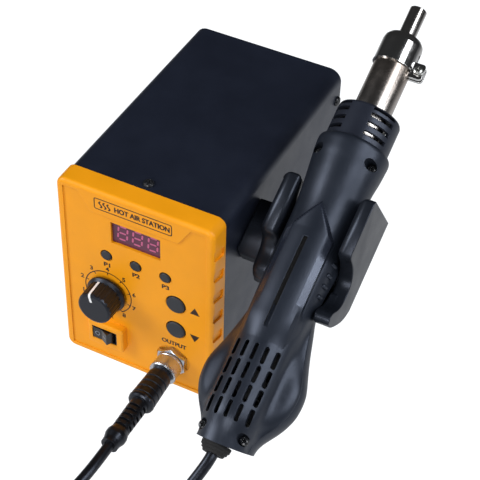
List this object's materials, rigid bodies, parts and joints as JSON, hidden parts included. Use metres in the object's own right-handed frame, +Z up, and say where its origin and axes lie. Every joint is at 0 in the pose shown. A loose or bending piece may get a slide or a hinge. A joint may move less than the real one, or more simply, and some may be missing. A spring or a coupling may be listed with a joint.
{
  "type": "hot air rework station",
  "caption": "Hot air rework station: steel cased control unit with a moulded front panel, and a fan handpiece with heated barrel and nozzle resting in a side cradle.",
  "frame": {"origin": "bottom centre of the whole object's box, on the bench the feet stand on", "axes": "+Z up; +Y towards the back of the control unit, away from its front panel; +X to the right seen from the front, towards the cradle and handpiece"},
  "size_m": [0.174, 0.3422, 0.2007],
  "materials": {
    "black_anodised": "anodised",
    "black_gloss": "gloss",
    "black_rubber": "matt",
    "brass_pin": "gold flash",
    "button_grey": "satin silicone",
    "cage_black": "satin glass-filled",
    "ceramic": "matt",
    "chrome_nozzle": "mirror polished",
    "copper_tape": "polyester tape over copper",
    "cradle_black": "satin moulded",
    "display_grey": "matt",
    "epoxy_black": "matt moulding compound",
    "glass_fuse": "clear with end caps",
    "handle_charcoal": "satin, fine moulded grain",
    "knob_black": "satin",
    "laminated_steel": "varnished laminations",
    "magnet": "nickel plated",
    "mica": "matt flaky",
    "nichrome": "drawn wire",
    "nickel": "polished nickel plate",
    "orange_abs": "satin, fine moulded grain",
    "pcb_green": "solder mask",
    "powder_black": "semi-gloss powder coat, fine orange peel",
    "purple_filter": "polished tinted",
    "pvc_black": "satin PVC",
    "screw_black": "black oxide",
    "stainless": "polished, slightly heat tinted",
    "tact_black": "satin",
    "white_line": "satin",
    "zinc_steel": "zinc plated"
  },
  "bodies": {
    "root": {"base_chassis": "zinc_steel", "clip_nuts": "zinc_steel", "contact_pins": "brass_pin", "cover_screws": "screw_black", "cradle_magnet": "magnet", "cradle_screws": "screw_black", "display_pcb": "pcb_green", "display_window": "purple_filter", "front_bezel": "orange_abs", "handle_cable": "pvc_black", "holder_cradle": "cradle_black", "inlet_pins": "brass_pin", "led_display": "display_grey", "main_pcb": "pcb_green", "mains_inlet": "black_gloss", "panel_socket": "nickel", "pcb_standoffs": "brass_pin", "plug_boot": "pvc_black", "pot_nut": "nickel", "potentiometer": "zinc_steel", "power_switch": "black_gloss", "rear_panel": "powder_black", "rubber_feet": "black_rubber", "small_screws": "zinc_steel", "socket_insert": "epoxy_black", "socket_nut": "nickel", "tact_switches": "tact_black", "top_cover": "powder_black", "transformer_core": "laminated_steel", "transformer_winding": "copper_tape", "triac": "epoxy_black", "triac_heatsink": "black_anodised"},
    "airflow_knob": {"airflow_knob": "knob_black", "knob_pointer": "white_line", "pot_shaft": "zinc_steel"},
    "power_rocker": {"power_rocker": "black_gloss"},
    "preset_button_1": {"preset_button_1": "button_grey"},
    "preset_button_2": {"preset_button_2": "button_grey"},
    "preset_button_3": {"preset_button_3": "button_grey"},
    "up_button": {"up_button": "button_grey"},
    "down_button": {"down_button": "button_grey"},
    "coupling_ring": {"coupling_ring": "nickel"},
    "fuse_drawer": {"fuse_drawer": "black_gloss", "fuse": "glass_fuse"},
    "handpiece": {"handle_front_shell": "handle_charcoal", "handle_rear_shell": "handle_charcoal", "handle_screws": "screw_black", "vent_cage": "cage_black", "barrel_tube": "stainless", "mica_sleeve": "mica", "heater_core": "ceramic", "heater_coil": "nichrome", "fan_housing": "tact_black", "fan_motor": "laminated_steel", "reed_switch_board": "pcb_green", "cable_grommet": "black_rubber"},
    "fan_impeller": {"fan_impeller": "tact_black"},
    "nozzle": {"nozzle": "chrome_nozzle", "nozzle_clamp_nut": "zinc_steel"},
    "nozzle_clamp_screw": {"nozzle_clamp_screw": "zinc_steel"}
  },
  "joints": [
    {"name": "airflow_turn", "type": "hinge", "parent": "root", "child": "airflow_knob", "pos_m": [-0.05415, 0.00094, 0.063], "axis": [0, -1, 0], "range_deg": [-161, 131]},
    {"name": "power_rock", "type": "hinge", "parent": "root", "child": "power_rocker", "pos_m": [-0.055, 0.00304, 0.03018], "axis": [0, 0, 1], "range_deg": [0, 29]},
    {"name": "preset_1_press", "type": "slide", "parent": "root", "child": "preset_button_1", "axis": [0, 1, 0], "range_m": [0, 0.0005]},
    {"name": "preset_2_press", "type": "slide", "parent": "root", "child": "preset_button_2", "axis": [0, 1, 0], "range_m": [0, 0.0005]},
    {"name": "preset_3_press", "type": "slide", "parent": "root", "child": "preset_button_3", "axis": [0, 1, 0], "range_m": [0, 0.0005]},
    {"name": "up_press", "type": "slide", "parent": "root", "child": "up_button", "axis": [0, 1, 0], "range_m": [0, 0.0008]},
    {"name": "down_press", "type": "slide", "parent": "root", "child": "down_button", "axis": [0, 1, 0], "range_m": [0, 0.0008]},
    {"name": "plug_ring_turn", "type": "hinge", "parent": "root", "child": "coupling_ring", "pos_m": [-0.01135, -0.00706, 0.027], "axis": [0, -1, 0], "range_deg": [0, 720]},
    {"name": "fuse_drawer_pull", "type": "slide", "parent": "root", "child": "fuse_drawer", "axis": [0, 1, 0], "range_m": [0, 0.024]},
    {"name": "handpiece_lift", "type": "slide", "parent": "root", "child": "handpiece", "axis": [0, -0.4648, 0.8854], "range_m": [0, 0.14], "deforming": ["handle_cable"]},
    {"name": "fan_spin", "type": "hinge", "parent": "handpiece", "child": "fan_impeller", "pos_m": [0.05755, -0.03443, 0.07604], "axis": [0, -0.4648, 0.8854], "continuous": true},
    {"name": "nozzle_pull", "type": "slide", "parent": "handpiece", "child": "nozzle", "axis": [0, 0.8854, 0.4648], "range_m": [0, 0.03]},
    {"name": "clamp_screw_turn", "type": "hinge", "parent": "nozzle", "child": "nozzle_clamp_screw", "pos_m": [0.0729, 0.13565, 0.17889], "axis": [0, -0.4648, 0.8854], "range_deg": [0, 720]}
  ]
}
